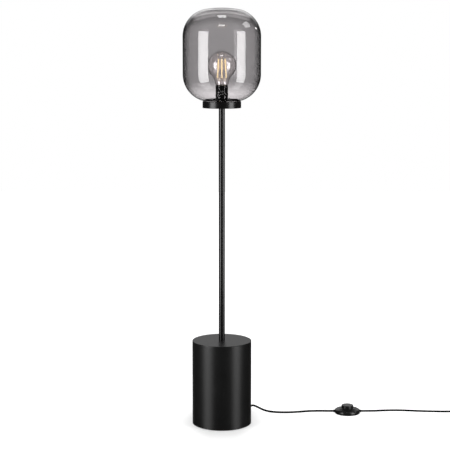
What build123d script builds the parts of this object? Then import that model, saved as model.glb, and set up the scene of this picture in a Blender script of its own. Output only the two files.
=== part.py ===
from build123d import *
import os
from math import atan2, cos, degrees, pi, radians, sin, sqrt, tan

os.makedirs("parts", exist_ok=True)

# A globe floor lamp: a steel drum base, a thin pole, a shallow cup, and a smoked glass
# shade that stands in the cup round a large clear filament bulb. The lead leaves the back
# of the drum, passes a foot switch and ends in a two-pin plug beside its put-away coil.
# Millimetres. The origin is the centre of the drum on the floor, +Z is up, and the
# front of the lamp faces -Y.

# ---------------------------------------------------------------- driving dimensions
# Drum base
drum_r = 100.0
drum_top_z = 288.5
drum_wall = 2.0
drum_edge_r = 1.6
foot_h = 2.5
foot_inset = 6.0
foot_width = 10.0
plate_t = 3.0
plate_gap = 0.3
ballast_gap = 8.0
ballast_t = 18.0
lug_count = 4
lug_width = 16.0
lug_reach = 22.0
lug_h = 12.0
lug_notch_gap = 1.0
lug_screw_share = 0.72    # how far in along a lug its screw stands
ballast_bolt_count = 3
ballast_bolt_circle_r = 52.0
bolt_end_gap = 1.0

# Fasteners and fits
fit_gap = 0.05            # running and thread clearance on a radius
seat_gap = 0.3            # clearance of a piece that only rests or hooks
plate_screw_r = 2.0
plate_screw_len = 11.0
bolt_r = 3.0
bolt_len = 18.0
screw_head_factor = 2.0   # countersunk head radius over shank radius

# Pole and the threaded tubes at its ends
pole_r = 10.25
pole_wall = 1.5
plug_len = 20.0
nipple_r = 5.0
nipple_bore_r = 3.6
nut_flats = 17.0
nut_t = 4.0
washer_r = 34.0
washer_t = 3.0
nipple_spare = 2.5        # thread showing past a nut

# Cup that carries the shade
cup_bottom_z = 1073.0
cup_r = 63.8
cup_h = 22.4
cup_floor_t = 3.0
cup_wall = 3.6
cup_top_r = 2.6
cup_bottom_edge_r = 1.2

# Glass shade
shade_h = 321.7
shade_r = 129.0
shade_wall = 3.0
crown_arc_r = 330.0
shoulder_arc_r = 90.0
throat_lift = 0.42        # height of the shoulder's lower end above the cup
neck_wall = 3.0
neck_side_gap = 0.9
neck_corner_r = 1.2
gasket_t = 2.0
gasket_width = 4.5

# Lampholder for a 27 mm screw cap
holder_r = 20.0
holder_top_z = 1147.8
holder_ring_top_z = 1121.5
holder_ring_bottom_z = 1109.0
holder_ring_proud = 0.5
holder_wall = 1.8
holder_entry_r = 9.0
holder_entry_h = 12.0
entry_lip_w = 2.0
entry_lip_h = 3.0
holder_ring_bevel = 1.2
holder_mouth_r = 0.6
holder_nut_gap = 0.5
core_wall = 2.8
core_floor_t = 3.0
shell_t = 0.4
shell_gap = 0.15
core_below_mouth = 1.5
shell_below_cap = 4.0
tongue_t = 0.6
tongue_half = 6.0
tongue_bend = 2.0
tongue_pad_half = 3.0
tongue_width = 5.0
tongue_rise = 6.0

# Bulb, 95 mm globe with LED filaments
bulb_centre_z = 1213.0
bulb_r = 47.5
bulb_glass_t = 1.0
bulb_neck_r = 21.0
bulb_neck_arc_r = 40.0
bulb_neck_foot_r = 4.0
cap_r = 13.0
cap_len = 21.0
cap_taper_h = 3.5
cap_contact_r = 4.8
cap_contact_h = 1.4
cap_contact_taper = 1.2
cap_seat_gap = 0.6        # the glass stands this far above the holder's mouth
filament_count = 6
filament_r = 1.05
filament_len = 62.0
filament_top_z = 1234.0
filament_top_circle_r = 12.5
filament_bottom_circle_r = 16.5
stem_flare_r = 9.0
stem_flare_h = 2.0
stem_neck_r = 4.5
stem_neck_h = 12.0
stem_pinch_r = 3.5
stem_pinch_h = 20.0
stem_rod_r = 2.0
stem_rod_foot_h = 24.0
cage_wire_r = 0.5
cage_hub_r = 3.2
cage_hub_h = 2.4
foot_ring_h = 1.2
foot_ring_drop = 1.6
foot_wire_inset = 0.3
foot_wire_start_h = 15.0

# Lead
cord_r = 3.4
cord_exit_z = 30.0
cord_exit_turn = 42.0     # degrees round the drum from +X towards the back
floor_z = cord_r + 0.05   # centre of the lead where it lies on the floor
relief_len = 24.0
relief_collar_r = 7.5
relief_collar_t = 2.5
relief_big_r = 5.6
relief_small_r = 4.1
relief_groove_count = 4
relief_groove_w = 1.8
relief_groove_depth = 0.7
relief_shank_len = 4.0    # inside the drum's wall
inner_cable_r = 2.5
inner_cable_bend_r = 24.0

# Parts on the ballast inside the drum
clamp_size = 18.0
clamp_width = 10.0
clamp_from_wall = 26.0
clamp_cover = 4.0
block_len = 24.0
block_width = 18.0
block_h = 14.0
block_from_axis = 34.0

# Foot switch
switch_x = 440.0
switch_y = 117.0
switch_r = 44.5
switch_pad_h = 1.5
switch_pad_r = 6.0
switch_pad_count = 3
switch_pad_circle_r = 31.0
switch_base_h = 5.0
switch_rim_h = 3.0
switch_dome_h = 13.6
switch_wall = 1.8
switch_base_taper = 1.0
dome_shoulder_in = 10.0
dome_shoulder_share = 0.72
switch_cord_z = 7.8
button_r = 20.8
button_gap = 0.35
button_top_z = 30.0
button_crown = 2.4
button_wall = 1.8
button_flange = 2.4
button_flange_t = 1.6
button_travel = 3.5
spring_r = 12.0
spring_wire_r = 0.7
spring_turns = 4
mechanism_r = 9.0
mechanism_h = 12.0
plunger_r = 3.5
plunger_hold = 3.0        # length of the plunger inside the mechanism at rest
stem_clear = 1.0
bushing_len = 4.5
bushing_r = 4.6
bushing_inside = 3.0
switch_screw_r = 1.3
switch_screw_len = 6.0
switch_post_r = 3.0

# Put-away coil, its tie and the plug
coil_x = 858.0
coil_back_y = 123.9       # line on which the lead comes in
coil_first_r = 45.0
coil_pitch = 7.3
coil_base_z = 4.4
coil_half_turns = 5       # in each layer, before the half turn that climbs
tie_t = 0.8
tie_width = 9.0
tie_gap = 0.5
tie_floor_gap = 0.15
tie_corner_r = 2.4
plug_width = 35.0
plug_body_len = 36.0
plug_thick = 13.7
plug_nose_len = 14.0
plug_back_width = 13.0
plug_edge_r = 2.4
plug_relief_len = 22.0
pin_r = 2.0
pin_len = 19.0
pin_spacing = 18.6
pin_tip_r = 1.0
plug_shoulder_r = 6.0
plug_shift = 0.8
tail_end_run = 18.0       # straight runs at the two ends of the tail
tail_drop_run = 31.0      # run down from the coil's top to the plug

# ---------------------------------------------------------------- worked-out places
plate_z = foot_h
ballast_z = plate_z + plate_t
ballast_top_z = ballast_z + ballast_t
drum_inner_r = drum_r - drum_wall
foot_r = drum_r - foot_inset
ballast_r = drum_inner_r - ballast_gap
drum_ceiling_z = drum_top_z - drum_wall
lug_mid_r = drum_inner_r - lug_reach / 2 + drum_wall / 4
lug_screw_circle_r = drum_inner_r - lug_reach * lug_screw_share
pole_len = cup_bottom_z - drum_top_z
pole_bore_r = pole_r - pole_wall
cup_floor_z = cup_bottom_z + cup_floor_t
cup_top_z = cup_bottom_z + cup_h
cup_bore_r = cup_r - cup_wall
neck_r = cup_bore_r - neck_side_gap
neck_bottom_z = cup_floor_z + gasket_t + seat_gap
shade_top_z = neck_bottom_z + shade_h
holder_bottom_z = cup_floor_z + nut_t + holder_nut_gap
cap_top_z = holder_top_z + cap_seat_gap
cap_bottom_z = cap_top_z - cap_len
bulb_tip_z = cap_bottom_z - cap_taper_h - cap_contact_h
shell_bore_r = cap_r + shell_gap
core_bore_r = shell_bore_r + shell_t + fit_gap
core_r = core_bore_r + core_wall
core_bottom_z = bulb_tip_z - tongue_t - tongue_rise
cord_out = (cos(radians(cord_exit_turn)), sin(radians(cord_exit_turn)))
switch_floor_z = switch_pad_h + switch_wall
switch_dome_top_z = switch_pad_h + switch_base_h + switch_dome_h
coil_y = coil_back_y - coil_first_r
coil_lead_in = 2 * cord_r
coil_top_z = coil_base_z + coil_pitch


def keep(piece, node):
    """Name a finished piece and write it as one file."""
    piece.part.label = node
    export_step(piece.part, f"parts/{node}.step")


def ring_of(outer_r, inner_r):
    """Two circles: a flat ring for the sketch that is open."""
    Circle(outer_r)
    Circle(inner_r, mode=Mode.SUBTRACT)


def radial_plane(distance, height=cord_exit_z):
    """Plane square to the lead's way out, at a distance from the drum's axis."""
    return Plane(
        origin=(distance * cord_out[0], distance * cord_out[1], height),
        x_dir=(-cord_out[1], cord_out[0], 0),
        z_dir=(cord_out[0], cord_out[1], 0),
    )


def along(distance, height=cord_exit_z):
    """Point on the lead's way out, at a distance from the drum's axis."""
    return (distance * cord_out[0], distance * cord_out[1], height)


def countersunk_screw(shank_r, length):
    """Screw pointing up from where it stands: a flat head on a plain shank."""
    head_r = shank_r * screw_head_factor
    head_h = head_r - shank_r
    up = (Align.CENTER, Align.CENTER, Align.MIN)
    Cone(head_r, shank_r, head_h, align=up)
    with Locations((0, 0, head_h)):
        Cylinder(shank_r, length - head_h, align=up)


def sink_hole(shank_r, depth):
    """Clearance for countersunk_screw, cut upwards from the same place."""
    hole_r = shank_r + fit_gap
    head_r = shank_r * screw_head_factor + fit_gap
    up = (Align.CENTER, Align.CENTER, Align.MIN)
    Cone(head_r, hole_r, head_r - hole_r, align=up, mode=Mode.SUBTRACT)
    Cylinder(hole_r, depth, align=up, mode=Mode.SUBTRACT)


def bend_radii(points):
    """At each corner 0.45 of the shorter run beside it, over the tangent of half the turn."""
    radii = []
    for before, corner, after in zip(points, points[1:], points[2:]):
        run_in = Vector(*corner) - Vector(*before)
        run_out = Vector(*after) - Vector(*corner)
        half_turn = radians(run_in.get_angle(run_out)) / 2
        radii.append(0.45 * min(run_in.length, run_out.length) / tan(half_turn))
    return radii


def report_tube(node, part, path_length, tube_r):
    """Print a tube's length and how its volume compares with section times length."""
    ratio = part.volume / (pi * tube_r**2 * path_length)
    print(f"{node}: length {path_length:.1f} mm, volume over section x length {ratio:.4f}")


# ---------------------------------------------------------------- drum base
with BuildPart() as base_drum:
    with BuildSketch(Plane.XY.offset(plate_z)):
        Circle(drum_r)
    extrude(amount=drum_top_z - plate_z)
    fillet(base_drum.edges().filter_by(GeomType.CIRCLE).sort_by(Axis.Z)[-1], drum_edge_r)
    with BuildSketch(Plane.XY.offset(plate_z)):
        Circle(drum_inner_r)
    extrude(amount=drum_ceiling_z - plate_z, mode=Mode.SUBTRACT)
    # lugs welded inside the lower rim take the screws of the base plate
    with BuildSketch(Plane.XY.offset(ballast_z)):
        with PolarLocations(lug_mid_r, lug_count):
            Rectangle(lug_reach + drum_wall / 2, lug_width)
    extrude(amount=lug_h)
    with BuildSketch(Plane.XY.offset(ballast_z)):
        with PolarLocations(lug_screw_circle_r, lug_count):
            Circle(plate_screw_r + fit_gap)
    extrude(amount=lug_h, mode=Mode.SUBTRACT)
    with BuildSketch(Plane.XY.offset(drum_ceiling_z)):
        Circle(nipple_r + seat_gap)
    extrude(amount=drum_wall, mode=Mode.SUBTRACT)
    with BuildSketch(radial_plane(drum_r - drum_wall * 2)):
        Circle(relief_big_r + fit_gap)
    extrude(amount=drum_wall * 3, mode=Mode.SUBTRACT)
keep(base_drum, "base_drum")

with BuildPart() as base_plate:
    with BuildSketch(Plane.XY.offset(plate_z)):
        Circle(drum_inner_r - plate_gap)
    extrude(amount=plate_t)
    with Locations((0, 0, plate_z)):
        with PolarLocations(lug_screw_circle_r, lug_count):
            sink_hole(plate_screw_r, plate_t)
        with PolarLocations(ballast_bolt_circle_r, ballast_bolt_count):
            sink_hole(bolt_r, plate_t)
keep(base_plate, "base_plate")

with BuildPart() as ballast_weight:
    with BuildSketch(Plane.XY.offset(ballast_z)):
        Circle(ballast_r)
        with PolarLocations(drum_inner_r - lug_reach / 2, lug_count):
            Rectangle(lug_reach + lug_notch_gap * 2, lug_width + lug_notch_gap * 2, mode=Mode.SUBTRACT)
    extrude(amount=ballast_t)
    with BuildSketch(Plane.XY.offset(ballast_z)):
        with PolarLocations(ballast_bolt_circle_r, ballast_bolt_count):
            Circle(bolt_r + fit_gap)
    extrude(amount=bolt_len - plate_t + bolt_end_gap, mode=Mode.SUBTRACT)
keep(ballast_weight, "ballast_weight")

with BuildPart() as foot_ring:
    with BuildSketch():
        ring_of(foot_r, foot_r - foot_width)
    extrude(amount=foot_h)
keep(foot_ring, "foot_ring")

with BuildPart() as plate_screws:
    with Locations((0, 0, plate_z)):
        with PolarLocations(lug_screw_circle_r, lug_count):
            countersunk_screw(plate_screw_r, plate_screw_len)
keep(plate_screws, "plate_screws")

with BuildPart() as ballast_bolts:
    with Locations((0, 0, plate_z)):
        with PolarLocations(ballast_bolt_circle_r, ballast_bolt_count):
            countersunk_screw(bolt_r, bolt_len)
keep(ballast_bolts, "ballast_bolts")

# ---------------------------------------------------------------- pole and its fastening
with BuildPart() as pole:
    with BuildSketch(Plane.XY.offset(drum_top_z)):
        ring_of(pole_r, pole_bore_r)
    extrude(amount=pole_len)
keep(pole, "pole")

for node, bottom_z in (("pole_foot_plug", drum_top_z), ("pole_head_plug", cup_bottom_z - plug_len)):
    with BuildPart() as pole_plug:
        with BuildSketch(Plane.XY.offset(bottom_z)):
            ring_of(pole_bore_r - fit_gap, nipple_r + fit_gap)
        extrude(amount=plug_len)
    keep(pole_plug, node)

foot_nipple_bottom_z = drum_ceiling_z - washer_t - nut_t - nipple_spare
head_nipple_top_z = holder_bottom_z + holder_entry_h - nipple_spare
nipple_spans = (
    ("foot_nipple", foot_nipple_bottom_z, drum_top_z + plug_len),
    ("head_nipple", cup_bottom_z - plug_len, head_nipple_top_z),
)
for node, bottom_z, top_z in nipple_spans:
    with BuildPart() as nipple:
        with BuildSketch(Plane.XY.offset(bottom_z)):
            ring_of(nipple_r, nipple_bore_r)
        extrude(amount=top_z - bottom_z)
    keep(nipple, node)

with BuildPart() as foot_washer:
    with BuildSketch(Plane.XY.offset(drum_ceiling_z - washer_t)):
        ring_of(washer_r, nipple_r + fit_gap)
    extrude(amount=washer_t)
keep(foot_washer, "foot_washer")

for node, bottom_z in (("foot_nut", drum_ceiling_z - washer_t - nut_t), ("cup_nut", cup_floor_z)):
    with BuildPart() as lock_nut:
        with BuildSketch(Plane.XY.offset(bottom_z)):
            RegularPolygon(nut_flats / 2, 6, major_radius=False)
            Circle(nipple_r + fit_gap, mode=Mode.SUBTRACT)
        extrude(amount=nut_t)
    keep(lock_nut, node)

# ---------------------------------------------------------------- cup, gasket and glass shade
with BuildPart() as shade_cup:
    with BuildSketch(Plane.XY.offset(cup_bottom_z)):
        Circle(cup_r)
    extrude(amount=cup_h)
    with BuildSketch(Plane.XY.offset(cup_floor_z)):
        Circle(cup_bore_r)
    extrude(amount=cup_h - cup_floor_t, mode=Mode.SUBTRACT)
    top_rims = shade_cup.faces().sort_by(Axis.Z)[-1].edges()
    fillet(top_rims.sort_by(SortBy.RADIUS)[-1], cup_top_r)
    fillet(shade_cup.faces().sort_by(Axis.Z)[0].edges(), cup_bottom_edge_r)
    with BuildSketch(Plane.XY.offset(cup_bottom_z)):
        Circle(nipple_r + seat_gap)
    extrude(amount=cup_floor_t, mode=Mode.SUBTRACT)
keep(shade_cup, "shade_cup")

with BuildPart() as shade_gasket:
    with BuildSketch(Plane.XY.offset(cup_floor_z)):
        ring_of(cup_bore_r - seat_gap, cup_bore_r - seat_gap - gasket_width)
    extrude(amount=gasket_t)
keep(shade_gasket, "shade_gasket")

crown_centre_z = shade_top_z - crown_arc_r
shoulder_centre_r = shade_r - shoulder_arc_r
shoulder_rise = sqrt((crown_arc_r - shoulder_arc_r) ** 2 - shoulder_centre_r**2)
shoulder_centre_z = crown_centre_z + shoulder_rise
crown_meets_shoulder = degrees(atan2(shoulder_rise, shoulder_centre_r))
lower_drop = sqrt(shoulder_arc_r**2 - (neck_r - shoulder_centre_r) ** 2)
lower_centre_z = cup_top_z + throat_lift + lower_drop


def shade_curve(depth, throat_r):
    """One side of the glass, a depth in from its outside, from the crown to the throat."""
    shoulder_r = shoulder_arc_r - depth
    throat_out = throat_r - shoulder_centre_r
    throat_turn = degrees(atan2(-sqrt(shoulder_r**2 - throat_out**2), throat_out))
    CenterArc((0, crown_centre_z), crown_arc_r - depth, crown_meets_shoulder, 90 - crown_meets_shoulder)
    CenterArc((shoulder_centre_r, shoulder_centre_z), shoulder_r, 0, crown_meets_shoulder)
    side_r = shade_r - depth
    Line((side_r, shoulder_centre_z), (side_r, lower_centre_z))
    lower = CenterArc((shoulder_centre_r, lower_centre_z), shoulder_r, throat_turn, -throat_turn)
    return lower @ 0


with BuildPart() as glass_shade:
    with BuildSketch(Plane.XZ) as shade_section:
        with BuildLine():
            outer_throat = shade_curve(0, neck_r)
            inner_throat = shade_curve(shade_wall, neck_r - neck_wall)
            Line((0, shade_top_z), (0, shade_top_z - shade_wall))
            Line(outer_throat, (neck_r, neck_bottom_z))
            Line((neck_r, neck_bottom_z), (neck_r - neck_wall, neck_bottom_z))
            Line((neck_r - neck_wall, neck_bottom_z), inner_throat)
        make_face()
        fillet(shade_section.vertices().sort_by_distance(outer_throat)[0], neck_corner_r)
        fillet(shade_section.vertices().sort_by_distance(inner_throat)[0], neck_corner_r)
    revolve(axis=Axis.Z)
keep(glass_shade, "glass_shade")

# ---------------------------------------------------------------- lampholder
with BuildPart() as holder_base:
    with BuildSketch(Plane.XZ):
        with BuildLine():
            Polyline(
                (nipple_r + fit_gap, holder_bottom_z),
                (holder_entry_r, holder_bottom_z),
                (holder_entry_r + entry_lip_w, holder_bottom_z + entry_lip_h),
                (holder_r, holder_bottom_z + holder_entry_h),
                (holder_r, holder_ring_bottom_z),
                (holder_r - holder_wall, holder_ring_bottom_z),
                (holder_r - holder_wall, holder_bottom_z + holder_entry_h + 1),
                (nipple_r + fit_gap, holder_bottom_z + holder_entry_h - 1),
                close=True,
            )
        make_face()
    revolve(axis=Axis.Z)
keep(holder_base, "holder_base")

with BuildPart() as holder_ring:
    with BuildSketch(Plane.XZ):
        with BuildLine():
            ring_r = holder_r + holder_ring_proud
            ring_bevel = holder_ring_bevel
            Polyline(
                (core_r + seat_gap, holder_ring_bottom_z),
                (ring_r - ring_bevel, holder_ring_bottom_z),
                (ring_r, holder_ring_bottom_z + ring_bevel),
                (ring_r, holder_ring_top_z - ring_bevel),
                (ring_r - ring_bevel, holder_ring_top_z),
                (core_r + seat_gap, holder_ring_top_z),
                close=True,
            )
        make_face()
    revolve(axis=Axis.Z)
keep(holder_ring, "holder_ring")

with BuildPart() as holder_sleeve:
    with BuildSketch(Plane.XY.offset(holder_ring_top_z)):
        ring_of(holder_r, core_r + seat_gap)
    extrude(amount=holder_top_z - holder_ring_top_z)
    top_rims = holder_sleeve.faces().sort_by(Axis.Z)[-1].edges()
    fillet(top_rims, holder_mouth_r)
keep(holder_sleeve, "holder_sleeve")

with BuildPart() as holder_core:
    with BuildSketch(Plane.XY.offset(core_bottom_z)):
        Circle(core_r)
    extrude(amount=holder_top_z - core_below_mouth - core_bottom_z)
    with BuildSketch(Plane.XY.offset(core_bottom_z + core_floor_t)):
        Circle(core_bore_r)
    extrude(amount=holder_top_z - core_bottom_z, mode=Mode.SUBTRACT)
keep(holder_core, "holder_core")

with BuildPart() as screw_shell:
    with BuildSketch(Plane.XY.offset(core_bottom_z + core_floor_t)):
        ring_of(shell_bore_r + shell_t, shell_bore_r)
    extrude(amount=cap_top_z - shell_below_cap - core_bottom_z - core_floor_t)
keep(screw_shell, "screw_shell")

with BuildPart() as contact_tongue:
    tongue_bottom_z = core_bottom_z + core_floor_t
    with BuildSketch(Plane.XZ):
        with BuildLine():
            Polyline(
                (-tongue_half, tongue_bottom_z),
                (tongue_half, tongue_bottom_z),
                (tongue_half, tongue_bottom_z + tongue_t),
                (-tongue_bend, tongue_bottom_z + tongue_t),
                (tongue_pad_half, bulb_tip_z - seat_gap),
                (-tongue_pad_half, bulb_tip_z - seat_gap),
                (-tongue_half, tongue_bottom_z + tongue_t),
                close=True,
            )
        make_face()
    extrude(amount=tongue_width / 2, both=True)
keep(contact_tongue, "contact_tongue")

# ---------------------------------------------------------------- bulb
neck_arc_centre_r = bulb_neck_r + bulb_neck_arc_r
neck_arc_drop = sqrt((bulb_r + bulb_neck_arc_r) ** 2 - neck_arc_centre_r**2)
neck_arc_centre_z = bulb_centre_z - neck_arc_drop
neck_turn = degrees(atan2(neck_arc_drop, neck_arc_centre_r))


def bulb_curve(depth):
    """Outline of the bulb's glass, a depth in from its outside, from the top to the cap."""
    CenterArc((0, bulb_centre_z), bulb_r - depth, -neck_turn, 90 + neck_turn)
    CenterArc((neck_arc_centre_r, neck_arc_centre_z), bulb_neck_arc_r + depth, 180 - neck_turn, neck_turn)
    foot_r_here = bulb_neck_foot_r - depth
    foot_centre = (bulb_neck_r - bulb_neck_foot_r, cap_top_z + bulb_neck_foot_r)
    Line((bulb_neck_r - depth, neck_arc_centre_z), (bulb_neck_r - depth, foot_centre[1]))
    CenterArc(foot_centre, foot_r_here, -90, 90)
    return (foot_centre[0], foot_centre[1] - foot_r_here)


with BuildPart() as bulb_glass:
    with BuildSketch(Plane.XZ):
        with BuildLine():
            outer_foot = bulb_curve(0)
            inner_foot = bulb_curve(bulb_glass_t)
            Line((0, bulb_centre_z + bulb_r), (0, bulb_centre_z + bulb_r - bulb_glass_t))
            Polyline(outer_foot, (stem_flare_r, outer_foot[1]), (stem_flare_r, inner_foot[1]), inner_foot)
        make_face()
    revolve(axis=Axis.Z)
keep(bulb_glass, "bulb_glass")

with BuildPart() as bulb_cap:
    with BuildSketch(Plane.XY.offset(cap_bottom_z)):
        Circle(cap_r)
    extrude(amount=cap_len)
keep(bulb_cap, "bulb_cap")

with BuildPart(Plane.XY.offset(cap_bottom_z)) as cap_insulator:
    down = (Align.CENTER, Align.CENTER, Align.MAX)
    Cone(cap_contact_r, cap_r - 1, cap_taper_h, align=down)
keep(cap_insulator, "cap_insulator")

with BuildPart(Plane.XY.offset(cap_bottom_z - cap_taper_h)) as cap_contact:
    Cone(cap_contact_r - cap_contact_taper, cap_contact_r, cap_contact_h, align=down)
keep(cap_contact, "cap_contact")

with BuildPart() as bulb_stem:
    with BuildSketch(Plane.XZ):
        with BuildLine():
            Polyline(
                (0, cap_top_z),
                (stem_flare_r - fit_gap, cap_top_z),
                (stem_flare_r - fit_gap, cap_top_z + stem_flare_h),
                (stem_neck_r, cap_top_z + stem_neck_h),
                (stem_pinch_r, cap_top_z + stem_pinch_h),
                (stem_rod_r, cap_top_z + stem_rod_foot_h),
                (stem_rod_r, filament_top_z),
                (0, filament_top_z),
                close=True,
            )
        make_face()
    revolve(axis=Axis.Z)
keep(bulb_stem, "bulb_stem")

filament_bottom_z = filament_top_z - filament_len


def filament_end(index, circle_r, height):
    """Where a filament starts or ends, on its circle round the stem."""
    turn = 2 * pi * (index + 0.5) / filament_count
    return (circle_r * cos(turn), circle_r * sin(turn), height)


with BuildPart() as bulb_filaments:
    for index in range(filament_count):
        low = Vector(*filament_end(index, filament_bottom_circle_r, filament_bottom_z))
        high = Vector(*filament_end(index, filament_top_circle_r, filament_top_z))
        with BuildSketch(Plane(origin=low, z_dir=high - low)):
            Circle(filament_r)
        extrude(amount=(high - low).length)
keep(bulb_filaments, "bulb_filaments")

with BuildPart() as filament_cage:
    # a hub on the stem's tip with one wire to the top of each filament
    with BuildSketch(Plane.XY.offset(filament_top_z)):
        Circle(cage_hub_r)
    extrude(amount=cage_hub_h)
    for index in range(filament_count):
        wire_z = filament_top_z + cage_wire_r + fit_gap * 2
        tip = Vector(*filament_end(index, filament_top_circle_r + filament_r, wire_z))
        centre = Vector(0, 0, wire_z)
        with BuildSketch(Plane(origin=centre, z_dir=tip - centre)):
            Circle(cage_wire_r)
        extrude(amount=(tip - centre).length)
keep(filament_cage, "filament_cage")

with BuildPart() as filament_foot:
    # a ring under the filaments, on two wires that come out of the stem
    with BuildSketch(Plane.XY.offset(filament_bottom_z - foot_ring_drop)):
        ring_of(filament_bottom_circle_r + filament_r, filament_bottom_circle_r - filament_r)
    extrude(amount=foot_ring_h)
    wire_end_z = filament_bottom_z - foot_ring_drop + foot_ring_h / 2
    for side in (-1, 1):
        start = Vector(side * (stem_neck_r + foot_wire_inset), 0, cap_top_z + foot_wire_start_h)
        end = Vector(side * filament_bottom_circle_r, 0, wire_end_z)
        with BuildSketch(Plane(origin=start, z_dir=end - start)):
            Circle(cage_wire_r)
        extrude(amount=(end - start).length)
keep(filament_foot, "filament_foot")

# ---------------------------------------------------------------- inside the drum
with BuildPart() as cord_relief:
    # tapered sleeve with flex grooves, on a collar against the outside of the drum
    with BuildSketch(radial_plane(drum_inner_r - relief_shank_len)):
        Circle(relief_big_r)
    extrude(amount=drum_wall + relief_shank_len)
    with BuildSketch(radial_plane(drum_r)):
        Circle(relief_collar_r)
    extrude(amount=relief_collar_t)
    with BuildSketch(radial_plane(drum_r + relief_collar_t)):
        Circle(relief_big_r)
    with BuildSketch(radial_plane(drum_r + relief_len)):
        Circle(relief_small_r)
    loft()
    groove_run = relief_len - relief_collar_t
    for index in range(relief_groove_count):
        share = (index + 0.6) / (relief_groove_count + 0.4)
        groove_at = drum_r + relief_collar_t + groove_run * share
        sleeve_r = relief_big_r + (relief_small_r - relief_big_r) * share
        with BuildSketch(radial_plane(groove_at)):
            ring_of(sleeve_r + 1, sleeve_r - relief_groove_depth)
        extrude(amount=relief_groove_w, mode=Mode.SUBTRACT)
keep(cord_relief, "cord_relief")

with BuildPart() as inner_lead:
    inner_lead_start = block_from_axis + block_len
    with BuildSketch(radial_plane(inner_lead_start)):
        Circle(cord_r)
    extrude(amount=drum_inner_r - relief_shank_len - inner_lead_start)
keep(inner_lead, "inner_lead")

with BuildPart() as cord_clamp:
    clamp_from_axis = drum_inner_r - clamp_from_wall
    clamp_top_z = cord_exit_z + cord_r + clamp_cover
    with BuildSketch(radial_plane(clamp_from_axis, (ballast_top_z + clamp_top_z) / 2)):
        Rectangle(clamp_size, clamp_top_z - ballast_top_z)
    extrude(amount=clamp_width)
    with BuildSketch(radial_plane(clamp_from_axis)):
        Circle(cord_r + fit_gap)
    extrude(amount=clamp_width, mode=Mode.SUBTRACT)
keep(cord_clamp, "cord_clamp")

with BuildPart() as terminal_block:
    with BuildSketch(radial_plane(block_from_axis, ballast_top_z + block_h / 2)):
        Rectangle(block_width, block_h)
    extrude(amount=block_len)
keep(terminal_block, "terminal_block")

inner_cable_z = ballast_top_z + block_h / 2
inner_cable_top_z = core_bottom_z - 1
with BuildPart() as inner_cable:
    with BuildLine() as cable_route:
        FilletPolyline(
            along(block_from_axis, inner_cable_z),
            (0, 0, inner_cable_z),
            (0, 0, inner_cable_top_z),
            radius=inner_cable_bend_r,
        )
    with BuildSketch(Plane(origin=cable_route.wire() @ 0, z_dir=cable_route.wire() % 0)):
        Circle(inner_cable_r)
    sweep()
report_tube("inner_cable", inner_cable.part, cable_route.wire().length, inner_cable_r)
keep(inner_cable, "inner_cable")

# ---------------------------------------------------------------- free lead
lamp_lead_route = [
    along(drum_r + relief_len),
    along(drum_r + relief_len + 16.7),
    (124.0, 104.5, 20.5),
    (150.0, 109.5, 9.0),
    (182.0, 112.0, floor_z),
    (223.0, 106.3, floor_z),
    (262.0, 110.3, floor_z),
    (303.0, 124.0, floor_z),
    (344.0, 129.0, 4.3),
    (373.0, switch_y, switch_cord_z),
    (switch_x - switch_r - bushing_len, switch_y, switch_cord_z),
]
switch_lead_route = [
    (switch_x + switch_r + bushing_len, switch_y, switch_cord_z),
    (506.0, switch_y, switch_cord_z),
    (534.0, 125.3, 4.6),
    (571.0, 133.0, floor_z),
    (613.0, 135.6, floor_z),
    (655.0, 131.2, floor_z),
    (697.0, 124.6, floor_z),
    (739.0, 122.4, floor_z),
    (780.0, 124.3, floor_z),
    (820.0, coil_back_y, coil_base_z),
    (coil_x - coil_lead_in, coil_back_y, coil_base_z),
]
coil_end_x = coil_x + coil_first_r
coil_end_y = coil_y - coil_pitch
tail_from_y = coil_end_y - coil_lead_in
plug_x = coil_end_x + plug_shift
plug_axis_z = plug_thick / 2 + fit_gap
plug_tail_route = [
    (coil_end_x, tail_from_y, coil_top_z),
    (coil_end_x, tail_from_y - tail_end_run, coil_top_z),
    (plug_x, tail_from_y - tail_end_run - tail_drop_run, plug_axis_z),
    (plug_x, tail_from_y - 2 * tail_end_run - tail_drop_run, plug_axis_z),
]
free_stretches = (
    ("lamp_lead", lamp_lead_route),
    ("switch_lead", switch_lead_route),
    ("plug_tail", plug_tail_route),
)
for node, route in free_stretches:
    radii = bend_radii(route)
    with BuildPart() as stretch:
        with BuildLine() as stretch_path:
            FilletPolyline(*route, radius=radii)
        with BuildSketch(Plane(origin=stretch_path.wire() @ 0, z_dir=stretch_path.wire() % 0)):
            Circle(cord_r)
        sweep()
    print(node, "bend radii", [round(radius) for radius in radii])
    report_tube(node, stretch.part, stretch_path.wire().length, cord_r)
    keep(stretch, node)


def wound_points(first_point, first_run, half_turns):
    """Ends of half turns side by side: each (diameter, climb) crosses the winding's axis line.

    The line runs along Y. Half turns start towards +X, then -X, and so on.
    """
    points = [Vector(*first_point)]
    way = first_run
    for diameter, climb in half_turns:
        points.append(points[-1] + Vector(0, way * diameter, climb))
        way = -way
    return points


def half_turn_arc(start, end, side):
    """Half a circle from start to end that bulges to the given side along X."""
    middle = (start + end) / 2
    bulge = (end - start).length / 2
    return ThreePointArc(start, middle + Vector(side * bulge, 0, 0), end)


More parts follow.
